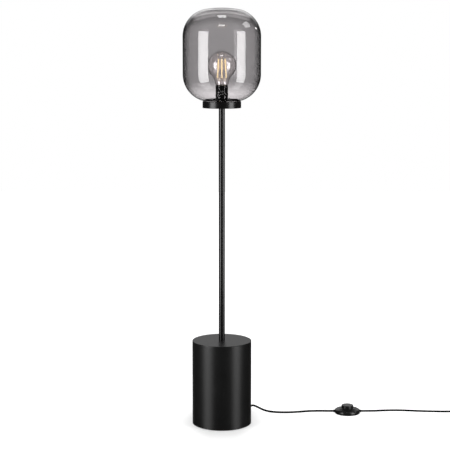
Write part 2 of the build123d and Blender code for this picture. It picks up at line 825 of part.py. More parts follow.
# Half turns draw in by half a pitch each, one climbs, and the rest let out again.
shrinking = [coil_first_r - index * coil_pitch / 2 for index in range(coil_half_turns)]
climbing_r = shrinking[-1] - coil_pitch / 2
growing = shrinking[:0:-1]
coil_steps = [(2 * radius, 0) for radius in shrinking]
coil_steps += [(2 * climbing_r, coil_pitch)]
coil_steps += [(2 * radius, 0) for radius in growing]
coil_start = (coil_x, coil_back_y, coil_base_z)
coil_points = wound_points(coil_start, -1, coil_steps)
with BuildPart() as lead_coil:
    with BuildLine() as coil_path:
        Line(coil_points[0] - Vector(coil_lead_in, 0, 0), coil_points[0])
        side = 1
        for start, end in zip(coil_points, coil_points[1:]):
            half_turn_arc(start, end, side)
            side = -side
        last = coil_points[-1]
        quarter_turn = CenterArc((coil_x, last.Y - coil_first_r, last.Z), coil_first_r, 90, -90)
        Line(quarter_turn @ 1, (quarter_turn @ 1) - Vector(0, coil_lead_in, 0))
    with BuildSketch(Plane(origin=coil_path.wire() @ 0, z_dir=coil_path.wire() % 0)):
        Circle(cord_r)
    sweep()
report_tube("lead_coil", lead_coil.part, coil_path.wire().length, cord_r)
keep(lead_coil, "lead_coil")


def least_self_gap(line, tube_r, apart):
    """Least distance between points further apart along the line than given, less the tube."""
    count = int(line.length / 2.5)
    step = line.length / count
    places = [line @ (index / count) for index in range(count + 1)]
    skip = int(apart / step)
    least = min(
        (places[later] - places[first]).length
        for first in range(count + 1)
        for later in range(first + skip, count + 1)
    )
    return least - 2 * tube_r


coil_gap = least_self_gap(coil_path.wire(), cord_r, 60)
print(f"lead_coil: least gap to itself {coil_gap:.2f} mm")

with BuildPart() as coil_tie:
    tie_near_x = coil_x - (coil_first_r - coil_pitch / 2) - cord_r - tie_gap
    tie_far_x = coil_x - climbing_r + cord_r + 2 * tie_gap
    tie_low_z = coil_base_z - cord_r - tie_floor_gap
    tie_high_z = coil_top_z + cord_r + tie_gap
    tie_plane = Plane(
        origin=((tie_near_x + tie_far_x) / 2, coil_y - coil_pitch / 2, (tie_low_z + tie_high_z) / 2),
        x_dir=(1, 0, 0),
        z_dir=(0, -1, 0),
    )
    hole_w = tie_far_x - tie_near_x
    hole_h = tie_high_z - tie_low_z
    with BuildSketch(tie_plane):
        RectangleRounded(hole_w + 2 * tie_t, hole_h + 2 * tie_t, tie_corner_r)
        RectangleRounded(hole_w, hole_h, tie_corner_r - tie_t, mode=Mode.SUBTRACT)
    extrude(amount=tie_width / 2, both=True)
keep(coil_tie, "coil_tie")

# ---------------------------------------------------------------- plug
plug_relief_y = plug_tail_route[-1][1]
plug_back_y = plug_relief_y - plug_relief_len
plug_nose_y = plug_back_y - plug_body_len
with BuildPart() as plug_body:
    with BuildSketch(Plane.XY.offset(plug_axis_z - plug_thick / 2)):
        with BuildLine():
            Polyline(
                (plug_x - plug_width / 2, plug_nose_y),
                (plug_x + plug_width / 2, plug_nose_y),
                (plug_x + plug_width / 2, plug_nose_y + plug_nose_len),
                (plug_x + plug_back_width / 2, plug_back_y),
                (plug_x - plug_back_width / 2, plug_back_y),
                (plug_x - plug_width / 2, plug_nose_y + plug_nose_len),
                close=True,
            )
        make_face()
    extrude(amount=plug_thick)
    side_edges = plug_body.edges().filter_by(Axis.Z)
    fillet(side_edges.group_by(Axis.Y)[1], plug_shoulder_r)
    fillet(plug_body.faces().sort_by(Axis.Z)[-1].edges(), plug_edge_r)
    fillet(plug_body.faces().sort_by(Axis.Z)[0].edges(), plug_edge_r)
    with BuildSketch(Plane(origin=(plug_x, plug_back_y - 1, plug_axis_z), z_dir=(0, 1, 0))):
        Circle(relief_big_r)
    with BuildSketch(Plane(origin=(plug_x, plug_relief_y, plug_axis_z), z_dir=(0, 1, 0))):
        Circle(relief_small_r)
    loft()
keep(plug_body, "plug_body")

with BuildPart() as plug_pins:
    with BuildSketch(Plane(origin=(plug_x, plug_nose_y, plug_axis_z), x_dir=(1, 0, 0), z_dir=(0, -1, 0))):
        with GridLocations(pin_spacing, 0, 2, 1):
            Circle(pin_r)
    extrude(amount=pin_len)
    fillet(plug_pins.edges().filter_by(GeomType.CIRCLE).group_by(Axis.Y)[0], pin_tip_r)
keep(plug_pins, "plug_pins")

# ---------------------------------------------------------------- foot switch
rim_z = switch_pad_h + switch_base_h
dome_shoulder_z = rim_z + switch_dome_h * dome_shoulder_share
mechanism_top_z = switch_floor_z + mechanism_h
stem_foot_z = mechanism_top_z + button_travel + stem_clear


def switch_plane(height):
    """Level plane centred on the switch."""
    return Plane(origin=(switch_x, switch_y, height))


def cut_lead_ports():
    """Cut the two lead ports of the housing, along X at the lead's height."""
    with Locations(Plane(origin=(switch_x, switch_y, switch_cord_z), z_dir=(1, 0, 0))):
        Cylinder(bushing_r + fit_gap, switch_r * 2.4, mode=Mode.SUBTRACT)


with BuildPart() as switch_pads:
    with BuildSketch(switch_plane(0)):
        with PolarLocations(switch_pad_circle_r, switch_pad_count, start_angle=90):
            Circle(switch_pad_r)
    extrude(amount=switch_pad_h)
keep(switch_pads, "switch_pads")

with BuildPart() as switch_base:
    with BuildSketch(switch_plane(switch_pad_h)):
        Circle(switch_r - switch_base_taper)
    with BuildSketch(switch_plane(rim_z)):
        Circle(switch_r)
    loft()
    with BuildSketch(switch_plane(switch_floor_z)):
        Circle(switch_r - switch_base_taper - switch_wall)
    extrude(amount=switch_base_h, mode=Mode.SUBTRACT)
    with Locations((switch_x, switch_y, switch_pad_h)):
        with PolarLocations(switch_pad_circle_r, switch_pad_count, start_angle=30):
            sink_hole(switch_screw_r, switch_wall)
    cut_lead_ports()
keep(switch_base, "switch_base")

with BuildPart() as switch_cover:
    with BuildSketch(Plane(origin=(switch_x, switch_y, 0), x_dir=(1, 0, 0), z_dir=(0, -1, 0))):
        with BuildLine():
            hole_r = button_r + button_gap
            shoulder_inside = switch_wall * dome_shoulder_share
            dome_low = (switch_r, rim_z)
            dome_high = (hole_r, switch_dome_top_z)
            Line((switch_r - switch_wall, rim_z), dome_low)
            Line(dome_low, (switch_r, rim_z + switch_rim_h / 2))
            Spline(
                (switch_r, rim_z + switch_rim_h / 2),
                (switch_r - dome_shoulder_in, dome_shoulder_z),
                dome_high,
                tangents=((0, 1), (-1, 0.06)),
            )
            Line(dome_high, (hole_r, switch_dome_top_z - switch_wall))
            Spline(
                (hole_r, switch_dome_top_z - switch_wall),
                (switch_r - dome_shoulder_in - shoulder_inside, dome_shoulder_z - shoulder_inside),
                (switch_r - switch_wall, rim_z + switch_rim_h / 2),
                tangents=((1, -0.06), (0, -1)),
            )
            Line((switch_r - switch_wall, rim_z + switch_rim_h / 2), (switch_r - switch_wall, rim_z))
        make_face()
    revolve(axis=Axis((switch_x, switch_y, 0), (0, 0, 1)))
    # posts that take the screws from below, run up into the dome
    post_h = dome_shoulder_z - switch_wall / 2 - switch_floor_z
    with BuildSketch(switch_plane(switch_floor_z)):
        with PolarLocations(switch_pad_circle_r, switch_pad_count, start_angle=30):
            Circle(switch_post_r)
    extrude(amount=post_h)
    with BuildSketch(switch_plane(switch_floor_z)):
        with PolarLocations(switch_pad_circle_r, switch_pad_count, start_angle=30):
            Circle(switch_screw_r + fit_gap)
    extrude(amount=switch_screw_len, mode=Mode.SUBTRACT)
    cut_lead_ports()
keep(switch_cover, "switch_cover")

button_low_z = switch_dome_top_z - switch_wall - seat_gap - button_flange_t
with BuildPart() as switch_button:
    with BuildSketch(switch_plane(button_low_z)):
        ring_of(button_r + button_flange, button_r - button_wall)
    extrude(amount=button_flange_t)
    with BuildSketch(switch_plane(button_low_z)):
        Circle(button_r)
    extrude(amount=button_top_z - button_low_z)
    fillet(switch_button.edges().filter_by(GeomType.CIRCLE).sort_by(Axis.Z)[-1], button_crown)
    with BuildSketch(switch_plane(button_low_z)):
        Circle(button_r - button_wall)
    extrude(amount=button_top_z - button_wall - button_low_z, mode=Mode.SUBTRACT)
    # stem that pushes the plunger
    with BuildSketch(switch_plane(button_top_z - button_wall)):
        Circle(plunger_r)
    extrude(amount=stem_foot_z - (button_top_z - button_wall))
keep(switch_button, "switch_button")

with BuildPart() as switch_plunger:
    with BuildSketch(switch_plane(mechanism_top_z - plunger_hold)):
        Circle(plunger_r)
    extrude(amount=stem_foot_z - mechanism_top_z + plunger_hold)
keep(switch_plunger, "switch_plunger")

with BuildPart() as switch_mechanism:
    with BuildSketch(switch_plane(switch_floor_z)):
        Circle(mechanism_r)
    extrude(amount=mechanism_h)
    bore_depth = plunger_hold + button_travel + stem_clear
    with BuildSketch(switch_plane(mechanism_top_z - bore_depth)):
        Circle(plunger_r + fit_gap)
    extrude(amount=bore_depth, mode=Mode.SUBTRACT)
keep(switch_mechanism, "switch_mechanism")

spring_low_z = switch_floor_z + spring_wire_r
spring_high_z = button_top_z - button_wall - spring_wire_r
spring_climb = (spring_high_z - spring_low_z) / (2 * spring_turns)
spring_steps = [(2 * spring_r, spring_climb)] * (2 * spring_turns)
spring_points = wound_points((switch_x, switch_y + spring_r, spring_low_z), -1, spring_steps)
with BuildPart() as switch_spring:
    with BuildLine() as spring_path:
        side = 1
        for start, end in zip(spring_points, spring_points[1:]):
            half_turn_arc(start, end, side)
            side = -side
    with BuildSketch(Plane(origin=spring_path.wire() @ 0, z_dir=spring_path.wire() % 0)):
        Circle(spring_wire_r)
    sweep()
keep(switch_spring, "switch_spring")

with BuildPart() as switch_bushings:
    for way in (-1, 1):
        inner_x = switch_x + way * (switch_r - switch_wall - bushing_inside)
        with BuildSketch(Plane(origin=(inner_x, switch_y, switch_cord_z), z_dir=(way, 0, 0))):
            Circle(bushing_r)
        extrude(amount=switch_wall + bushing_inside + bushing_len)
keep(switch_bushings, "switch_bushings")

with BuildPart() as switch_screws:
    with Locations((switch_x, switch_y, switch_pad_h)):
        with PolarLocations(switch_pad_circle_r, switch_pad_count, start_angle=30):
            countersunk_screw(switch_screw_r, switch_screw_len)
keep(switch_screws, "switch_screws")
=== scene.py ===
# %% [markdown]
# # A smoked glass floor lamp
#
# A steel drum stands on the floor and holds up a thin pole, a shallow cup and a large barrel
# of smoked glass with a clear filament bulb inside. The solid parts come ready from the CAD
# model. This lesson gives them their finishes, and makes the pieces that bend or are wound.

# %% Load the lamp
from math import radians

import bpy
import numpy as np
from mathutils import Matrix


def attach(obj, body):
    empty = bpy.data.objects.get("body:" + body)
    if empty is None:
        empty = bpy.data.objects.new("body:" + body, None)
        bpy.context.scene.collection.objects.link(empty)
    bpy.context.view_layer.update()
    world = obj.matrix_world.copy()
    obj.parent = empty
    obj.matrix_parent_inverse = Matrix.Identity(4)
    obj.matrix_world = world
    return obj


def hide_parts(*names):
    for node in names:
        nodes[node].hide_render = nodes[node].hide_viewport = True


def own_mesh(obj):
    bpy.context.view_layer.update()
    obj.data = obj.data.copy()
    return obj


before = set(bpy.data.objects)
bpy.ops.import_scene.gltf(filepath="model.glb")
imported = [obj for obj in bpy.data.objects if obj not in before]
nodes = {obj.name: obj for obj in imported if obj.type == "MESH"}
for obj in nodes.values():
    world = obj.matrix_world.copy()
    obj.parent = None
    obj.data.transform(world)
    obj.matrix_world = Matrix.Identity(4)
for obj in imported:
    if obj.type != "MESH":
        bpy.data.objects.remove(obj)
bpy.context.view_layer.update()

# %% [markdown]
# ## Camera
#
# The picture was taken from a little below the top of the glass, with a long lens that is
# tipped down by eight degrees. The lamp's axis runs just left of the middle, which a very
# small sideways shift of the lens gives.

# %% Camera
PICTURE_PX = 450
SENSOR_MM = 36.0
FOCAL_PX = 1297.0
AXIS_LEFT_PX, AXIS_LOW_PX = 3.15, 0.3
CAMERA_BACK, CAMERA_UP = 4.300, 1.279
TIPPED_DOWN = 7.913
camera_data = bpy.data.cameras.new("picture_camera")
camera_data.sensor_width = SENSOR_MM
camera_data.lens = FOCAL_PX / PICTURE_PX * SENSOR_MM
camera_data.shift_x = AXIS_LEFT_PX / PICTURE_PX
camera_data.shift_y = AXIS_LOW_PX / PICTURE_PX
camera = bpy.data.objects.new("picture_camera", camera_data)
camera.location = (0.0, -CAMERA_BACK, CAMERA_UP)
camera.rotation_euler = (radians(90 - TIPPED_DOWN), 0.0, 0.0)
bpy.context.scene.collection.objects.link(camera)
bpy.context.scene.camera = camera
print("lens", round(camera_data.lens, 1), "mm")

# %% [markdown]
# ## Lead
#
# A mains lead is a soft round cable of a fixed length. It could be swept as a mesh, but a
# NURBS curve with a round bevel is one smooth line that can be moved point by point. The
# control points are the corners of the route, and the curve rounds them by itself.
#
# The first stretch leaves the drum through its strain relief, sinks to the floor, and rises
# into the foot switch.

# %% A curve for a stretch of lead
MM = 0.001
LEAD_R = 3.4 * MM
FLOOR_LINE = 3.45      # height in mm of the lead's middle line where it lies on the floor


def lead_curve(name, points_mm, radius=LEAD_R):
    """A tube of one radius along a quadratic NURBS line with these control points."""
    points = np.asarray(points_mm, dtype=float) * MM
    curve = bpy.data.curves.new(name, "CURVE")
    curve.dimensions = "3D"
    curve.bevel_depth = radius
    curve.bevel_resolution = 4
    curve.resolution_u = 8
    curve.use_fill_caps = True
    spline = curve.splines.new("NURBS")
    spline.points.add(len(points) - 1)
    weights = np.ones((len(points), 1))
    spline.points.foreach_set("co", np.hstack([points, weights]).ravel())
    spline.order_u = 3
    spline.use_endpoint_u = True
    lead = bpy.data.objects.new(name, curve)
    bpy.context.scene.collection.objects.link(lead)
    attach(lead, "root")
    print(name, "has", len(points), "points")
    return lead


# %% Lamp to foot switch
EXIT_TURN = radians(42.0)
EXIT_Z = 30.0
RELIEF_END = 124.0
SWITCH_X, SWITCH_Y, SWITCH_LEAD_Z = 440.0, 117.0, 7.8
SWITCH_END = 49.0      # from the middle of the foot switch to the end of a bushing


def on_exit_line(distance, height=EXIT_Z):
    """Point on the line out through the lead's hole, at a distance from the drum's axis."""
    return (distance * np.cos(EXIT_TURN), distance * np.sin(EXIT_TURN), height)


lamp_route = [
    on_exit_line(RELIEF_END),
    (104.0, 97.0, 36.5),
    (124.0, 109.0, 25.0),
    (150.0, 115.0, 9.8),
    (182.0, 117.5, FLOOR_LINE),
    (223.0, 113.5, FLOOR_LINE),
    (262.0, 118.3, FLOOR_LINE),
    (303.0, 131.0, FLOOR_LINE),
    (344.0, 131.0, 4.3),
    (373.0, SWITCH_Y, SWITCH_LEAD_Z),
    (SWITCH_X - SWITCH_END, SWITCH_Y, SWITCH_LEAD_Z),
]
lead_to_switch = lead_curve("lead_to_switch", lamp_route)
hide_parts("lamp_lead")

# %% [markdown]
# The second stretch runs out of the picture. What the picture doesn't show is put away as a
# neat round coil of two layers, held by a tie, with the plug beside it. The turns are more
# control points of the same curve. A quadratic curve runs a little inside its control
# points, so their circle is made larger by the share that it loses.

# %% Coil: half turns side by side
POINTS_PER_HALF_TURN = 8
HALF_TURNS_PER_LAYER = 5
COIL_X = 858.0
COIL_OUTER_R = 45.0
COIL_PITCH = 7.3
COIL_LOW_Z = 4.4
COIL_BACK_Y = 123.9
turn_step = np.pi / POINTS_PER_HALF_TURN
inside_share = 0.75 + 0.25 * np.cos(turn_step)
layer_radii = [COIL_OUTER_R - step * COIL_PITCH / 2 for step in range(HALF_TURNS_PER_LAYER)]
climb_radius = layer_radii[-1] - COIL_PITCH / 2
half_turn_radii = layer_radii + [climb_radius] + layer_radii[:0:-1]


def half_turn(start_y, radius, way, low_z, rise):
    """Points on half a circle: clockwise from one side of the coil's middle line to the other.

    The circle's centre lies one radius along the line, and the height follows the share of
    the line that is passed.
    """
    angles = way * np.pi / 2 - turn_step * np.arange(POINTS_PER_HALF_TURN)
    reach = radius / inside_share
    centre_y = start_y - way * radius
    passed = (1 - way * np.sin(angles)) / 2
    return np.column_stack([
        COIL_X + reach * np.cos(angles),
        centre_y + reach * np.sin(angles),
        low_z + rise * passed,
    ])


coil_points = []
at_y, at_z, way = COIL_BACK_Y, COIL_LOW_Z, 1
for index, radius in enumerate(half_turn_radii):
    rise = COIL_PITCH if index == len(layer_radii) else 0.0
    coil_points.append(half_turn(at_y, radius, way, at_z, rise))
    at_y, at_z, way = at_y - 2 * way * radius, at_z + rise, -way
last_quarter = half_turn(at_y, COIL_OUTER_R, way, at_z, 0.0)[: POINTS_PER_HALF_TURN // 2]
coil_points.append(last_quarter)
coil_points = np.vstack(coil_points)
print("coil:", len(coil_points), "points, ends at y", round(at_y, 1), "z", at_z, "way", way)

# %% Foot switch to plug
PLUG_Z = 6.9
tail_x, tail_y = COIL_X + COIL_OUTER_R, at_y - COIL_OUTER_R
out_route = [
    (SWITCH_X + SWITCH_END, SWITCH_Y, SWITCH_LEAD_Z),
    (506.0, SWITCH_Y, SWITCH_LEAD_Z),
    (534.0, 129.3, 4.6),
    (571.0, 139.0, FLOOR_LINE),
    (613.0, 142.0, FLOOR_LINE),
    (655.0, 137.6, FLOOR_LINE),
    (697.0, 131.0, FLOOR_LINE),
    (739.0, 127.0, FLOOR_LINE),
    (780.0, 124.3, FLOOR_LINE),
    (820.0, COIL_BACK_Y, COIL_LOW_Z),
    (845.0, COIL_BACK_Y + 0.6, COIL_LOW_Z),
]
tail_route = [
    (tail_x, tail_y, at_z),
    (tail_x, tail_y - 24.8, at_z),
    (tail_x + 0.8, tail_y - 55.8, PLUG_Z),
    (tail_x + 0.8, tail_y - 73.8, PLUG_Z),
]
lead_to_plug = lead_curve("lead_to_plug", np.vstack([out_route, coil_points, tail_route]))
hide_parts("switch_lead", "lead_coil", "plug_tail")

# %% [markdown]
# ## Cables inside the lamp
#
# Behind the strain relief the lead runs through its clamp into a terminal block. From there a
# thinner cable bends up into the pole and lies in it a little to one side and the other, as
# a loose cable does, up to the lampholder.

# %% Lead inside the drum
inner_steps = ((58.0, 30.0), (66.0, 29.8), (78.0, 30.0), (88.0, 30.1), (94.0, 30.0))
inner_route = [on_exit_line(distance, height) for distance, height in inner_steps]
inner_lead = lead_curve("lead_inside_drum", inner_route)
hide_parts("inner_lead")

# %% Cable up the pole
CABLE_R = 2.5 * MM
CABLE_LOW_Z, CABLE_HIGH_Z = 30.5, 1114.9
SWAY_LOW_Z, SWAY_HIGH_Z, SWAY = 340.0, 1020.0, 1.6
sway_z = np.linspace(SWAY_LOW_Z, SWAY_HIGH_Z, 9)
sway_turn = 2.4 * np.arange(len(sway_z))
swaying = np.column_stack([SWAY * np.cos(sway_turn), SWAY * np.sin(sway_turn), sway_z])
cable_points = np.vstack([
    on_exit_line(34.0, CABLE_LOW_Z),
    (0.0, 0.0, CABLE_LOW_Z),
    (0.0, 0.0, CABLE_LOW_Z + 66.0),
    (0.0, 0.0, 200.0),
    (0.0, 0.0, 285.0),
    swaying,
    (0.0, 0.0, 1075.0),
    (0.0, 0.0, CABLE_HIGH_Z),
])
inner_cable = lead_curve("cable_up_pole", cable_points, CABLE_R)
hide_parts("inner_cable")

# %% [markdown]
# ## Swept and wound pieces
#
# The return spring, the band round the coil, the bulb's filaments and its screw cap are all a
# small profile carried along a line or round an axis. Each is one grid of points made by
# numpy, so one function can skin them all.


# %% Skins
def skin(rings, start=0):
    """Faces of a tube of rings, each a closed row of points, with a flat face at both ends.

    rings has the shape (count, around, 3). Neighbouring points of neighbouring rings make
    four-sided faces, and the first and last ring become one face each. start is the number
    that the first point has in the mesh.
    """
    count, around = rings.shape[:2]
    ring, step = np.meshgrid(np.arange(count - 1), np.arange(around), indexing="ij")
    here, there = ring * around + step, ring * around + (step + 1) % around
    sides = np.stack([here, there, there + around, here + around], axis=-1).reshape(-1, 4)
    first = np.arange(around)[::-1]
    last = (count - 1) * around + np.arange(around)
    return (start + sides).tolist() + [(start + first).tolist(), (start + last).tolist()]


def carried(line, outward, profile, scale=None):
    """Rings of a profile carried along a line.

    At each point of the line the profile's first number runs along the outward direction and
    its second along the tangent crossed with it, both times the scale there.
    """
    tangent = np.gradient(line, axis=0)
    tangent /= np.linalg.norm(tangent, axis=1, keepdims=True)
    outward = outward - tangent * np.sum(tangent * outward, axis=1, keepdims=True)
    outward /= np.linalg.norm(outward, axis=1, keepdims=True)
    across = np.cross(tangent, outward)
    scale = np.ones(len(line)) if scale is None else scale
    return (
        line[:, None]
        + (scale[:, None] * profile[:, 0])[..., None] * outward[:, None]
        + (scale[:, None] * profile[:, 1])[..., None] * across[:, None]
    )


def circle(radius, count):
    """Points round a circle, once, without the last one repeated."""
    turn = np.linspace(0, 2 * np.pi, count, endpoint=False)
    return radius * np.column_stack([np.cos(turn), np.sin(turn)])


def piece(name, shells, body):
    """One mesh object of one or more skinned shells, in millimetres, riding on a body."""
    points, faces, start = [], [], 0
    for rings in shells:
        points.append(rings.reshape(-1, 3))
        faces += skin(rings, start)
        start += len(points[-1])
    mesh = bpy.data.meshes.new(name)
    mesh.from_pydata((np.vstack(points) * MM).tolist(), [], faces)
    mesh.polygons.foreach_set("use_smooth", np.ones(len(mesh.polygons), dtype=bool))
    made = bpy.data.objects.new(name, mesh)
    bpy.context.scene.collection.objects.link(made)
    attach(made, body)
    print(name, "has", len(faces), "faces in", len(shells), "shells")
    return made


# %% Return spring of the foot switch
SPRING_R, SPRING_WIRE_R = 12.0, 0.7
SPRING_LOW_Z, SPRING_HIGH_Z = 4.0, 27.5
DEAD_PITCH, LIVE_PITCH, SPRING_TURNS = 1.42, 5.9, 5.5
DEAD_TURNS, OPENED_TURNS = 0.8, 1.3


def eased(value, low, high):
    """Smooth step from 0 to 1: three squares less two cubes of the share passed."""
    share = np.clip((value - low) / (high - low), 0, 1)
    return share * share * (3 - 2 * share)


turns = np.linspace(0, SPRING_TURNS, 221)
opening = eased(turns, DEAD_TURNS, OPENED_TURNS)
closing = eased(turns, SPRING_TURNS - OPENED_TURNS, SPRING_TURNS - DEAD_TURNS)
open_part = opening * (1 - closing)
pitch = DEAD_PITCH + (LIVE_PITCH - DEAD_PITCH) * open_part
climb = np.concatenate([[0], np.cumsum((pitch[1:] + pitch[:-1]) / 2)])
spring_z = SPRING_LOW_Z + (SPRING_HIGH_Z - SPRING_LOW_Z) * climb / climb[-1]
round_it = np.column_stack([np.cos(2 * np.pi * turns), np.sin(2 * np.pi * turns), np.zeros(len(turns))])
spring_axis = np.column_stack([np.full(len(turns), SWITCH_X), np.full(len(turns), SWITCH_Y), spring_z])
spring_line = spring_axis + round_it * SPRING_R
spring = piece("return_spring", [carried(spring_line, round_it, circle(SPRING_WIRE_R, 10))], "root")
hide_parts("switch_spring")
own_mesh(spring)

# %% [markdown]
# The band round the coil is a woven strap that laps over itself on top. Its line is a rounded
# rectangle that starts on top, goes round once and ends one thickness further out.

# %% Band round the coil
BAND_X, BAND_Y, BAND_Z = 824.2, 75.25, 8.225
BAND_HALF_X, BAND_HALF_Z, BAND_CORNER = 11.85, 7.775, 2.2
BAND_T, BAND_WIDTH = 0.76, 8.8


def band_corner(way_x, way_z, out):
    """Quarter circle at one corner of the band, gone round clockwise, some way further out."""
    start = {(1, 1): 90, (1, -1): 0, (-1, -1): -90, (-1, 1): 180}[(way_x, way_z)]
    angles = np.radians(start - np.linspace(0, 90, 9))
    radius = BAND_CORNER + out
    return np.column_stack([
        way_x * (BAND_HALF_X - BAND_CORNER) + radius * np.cos(angles),
        way_z * (BAND_HALF_Z - BAND_CORNER) + radius * np.sin(angles),
    ])


band_flat = np.vstack([
    [(-6.0, BAND_HALF_Z), (0.0, BAND_HALF_Z)],
    band_corner(1, 1, 0.0),
    [(BAND_HALF_X, 0.0)],
    band_corner(1, -1, 0.0),
    [(0.0, -BAND_HALF_Z)],
    band_corner(-1, -1, 0.0),
    [(-BAND_HALF_X - 0.3, 0.0)],
    band_corner(-1, 1, 0.6),
    [(across, BAND_HALF_Z + BAND_T) for across in (-7.0, -2.0, 4.0, 8.0)],
])
band_line = np.column_stack([
    BAND_X + band_flat[:, 0], np.full(len(band_flat), BAND_Y), BAND_Z + band_flat[:, 1]
])
run = np.gradient(band_flat, axis=0)
band_out = np.column_stack([-run[:, 1], np.zeros(len(run)), run[:, 0]])
half_t, half_w = BAND_T / 2, BAND_WIDTH / 2
band_profile = np.array([(-half_t, -half_w), (half_t, -half_w), (half_t, half_w), (-half_t, half_w)])
band = piece("coil_band", [carried(band_line, band_out, band_profile)], "root")
band.data.polygons.foreach_set("use_smooth", np.zeros(len(band.data.polygons), dtype=bool))
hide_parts("coil_tie")

# %% [markdown]
# A lead that is laid out anew takes along what is on it: the whole foot switch with the first
# stretch, and the plug and the band with the second.

# %% [markdown]
# Each filament is a thin strip of light-emitting chips in a round yellow coat. It leans
# outwards to the bottom, like the ribs of a small lampshade.

# %% Filaments
FILAMENTS, FILAMENT_R = 6, 2.0
FILAMENT_TOP = (12.5, 1234.0)          # distance from the axis, and height
FILAMENT_BOTTOM = (16.5, 1172.0)
ROUND_SHARE, TIP_SHARE = 0.024, 0.06   # of the length that rounds off, of the width left at the tip
straight = np.linspace(ROUND_SHARE, 1 - ROUND_SHARE, 12)
share = np.concatenate([[0.0, 0.004, 0.012], straight, [0.988, 0.996, 1.0]])
from_round = (1 - np.minimum(share, 1 - share) / ROUND_SHARE).clip(0)
end_round = np.sqrt(np.clip(1 - from_round**2, TIP_SHARE, 1))
filament_shells = []
for index in range(FILAMENTS):
    turn = 2 * np.pi * (index + 0.5) / FILAMENTS
    outward = np.array([np.cos(turn), np.sin(turn), 0.0])
    low = outward * FILAMENT_BOTTOM[0] + np.array([0, 0, FILAMENT_BOTTOM[1]])
    high = outward * FILAMENT_TOP[0] + np.array([0, 0, FILAMENT_TOP[1]])
    line = low + share[:, None] * (high - low)
    facing_out = np.tile(outward, (len(line), 1))
    filament_shells.append(carried(line, facing_out, circle(FILAMENT_R, 14), end_round))
filaments = piece("filaments", filament_shells, "bulb")
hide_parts("bulb_filaments")

# %% [markdown]
# The screw cap is rolled from thin sheet, so its thread is a soft wave: the radius swings
# once for each pitch of height, and the wave moves up one pitch with each turn.

# %% Screw cap of the bulb
CAP_LOW_Z, CAP_HIGH_Z = 1127.4, 1148.4
CAP_R, THREAD_DEPTH, THREAD_PITCH = 12.95, 0.85, 3.63
CAP_AROUND = 96
WALL_LOW_Z, WALL_HIGH_Z = CAP_LOW_Z + 1.2, CAP_HIGH_Z - 1.4
heights = np.linspace(WALL_LOW_Z, WALL_HIGH_Z, 70)
cap_turn = np.linspace(0, 2 * np.pi, CAP_AROUND, endpoint=False)
wave = 0.5 - 0.5 * np.cos(2 * np.pi * heights[:, None] / THREAD_PITCH - cap_turn)
thread_starts = eased(heights, WALL_LOW_Z, WALL_LOW_Z + 2.0)
thread_ends = eased(heights, WALL_HIGH_Z - 3.6, WALL_HIGH_Z - 2.2)
threaded = thread_starts * (1 - thread_ends)
cap_radius = CAP_R - THREAD_DEPTH * (1 - wave * threaded[:, None])
ends_low = np.array([(11.3, CAP_LOW_Z), (11.8, CAP_LOW_Z + 0.2), (12.05, CAP_LOW_Z + 0.7)])
ends_high = np.array([(12.0, CAP_HIGH_Z - 0.8), (11.8, CAP_HIGH_Z - 0.25), (11.4, CAP_HIGH_Z)])
radius_grid = np.vstack([
    np.repeat(ends_low[:, :1], CAP_AROUND, axis=1),
    cap_radius,
    np.repeat(ends_high[:, :1], CAP_AROUND, axis=1),
])
height_column = np.concatenate([ends_low[:, 1], heights, ends_high[:, 1]])
cap_rings = np.stack([
    radius_grid * np.cos(cap_turn),
    radius_grid * np.sin(cap_turn),
    np.repeat(height_column[:, None], CAP_AROUND, axis=1),
], axis=-1)
screw_cap = piece("screw_cap", [cap_rings], "bulb")
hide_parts("bulb_cap")

# %% [markdown]
# ## Floor and light
#
# The lamp stands in a white studio, which is built in three steps: the room, the soft boxes
# and the floor. Materials and light are trees of nodes, so the steps share a few helpers that
# add a node, join two of them, or do sums on them.


# %% Small helpers for node trees
def add(tree, kind, **inputs):
    """Add a node and set its inputs by name, with underscores for spaces."""
    node = tree.nodes.new(kind)
    for name, value in inputs.items():
        node.inputs[name.replace("_", " ")].default_value = value
    return node


def join(tree, *pairs):
    """Link each output to its input."""
    for output, target in pairs:
        tree.links.new(output, target)


def maths(tree, operation, first, second=0.0):
    """A Math node on two values, each a number or another node's output."""
    node = tree.nodes.new("ShaderNodeMath")
    node.operation = operation
    for socket, value in zip(node.inputs, (first, second)):
        if isinstance(value, (int, float)):
            socket.default_value = value
        else:
            tree.links.new(value, socket)
    return node.outputs[0]


def between(tree, value, low, high, to_low=0.0, to_high=1.0):
    """A value carried from one range to another, smoothly and held at the ends."""
    node = tree.nodes.new("ShaderNodeMapRange")
    node.interpolation_type = "SMOOTHSTEP"
    tree.links.new(value, node.inputs["Value"])
    for name, number in zip(("From Min", "From Max", "To Min", "To Max"), (low, high, to_low, to_high)):
        node.inputs[name].default_value = number
    return node.outputs["Result"]


# %% [markdown]
# The room is white to the eye and lights matt surfaces softly from all sides. A reflection
# finds light only behind the lamp, where the backdrop rises from the floor and curves
# overhead, as in a real studio, where the sides are dark. That keeps the black paint black
# and gives the glass its dark outline. A plain grey world would be simpler, but it would lay
# a haze on everything that shines.

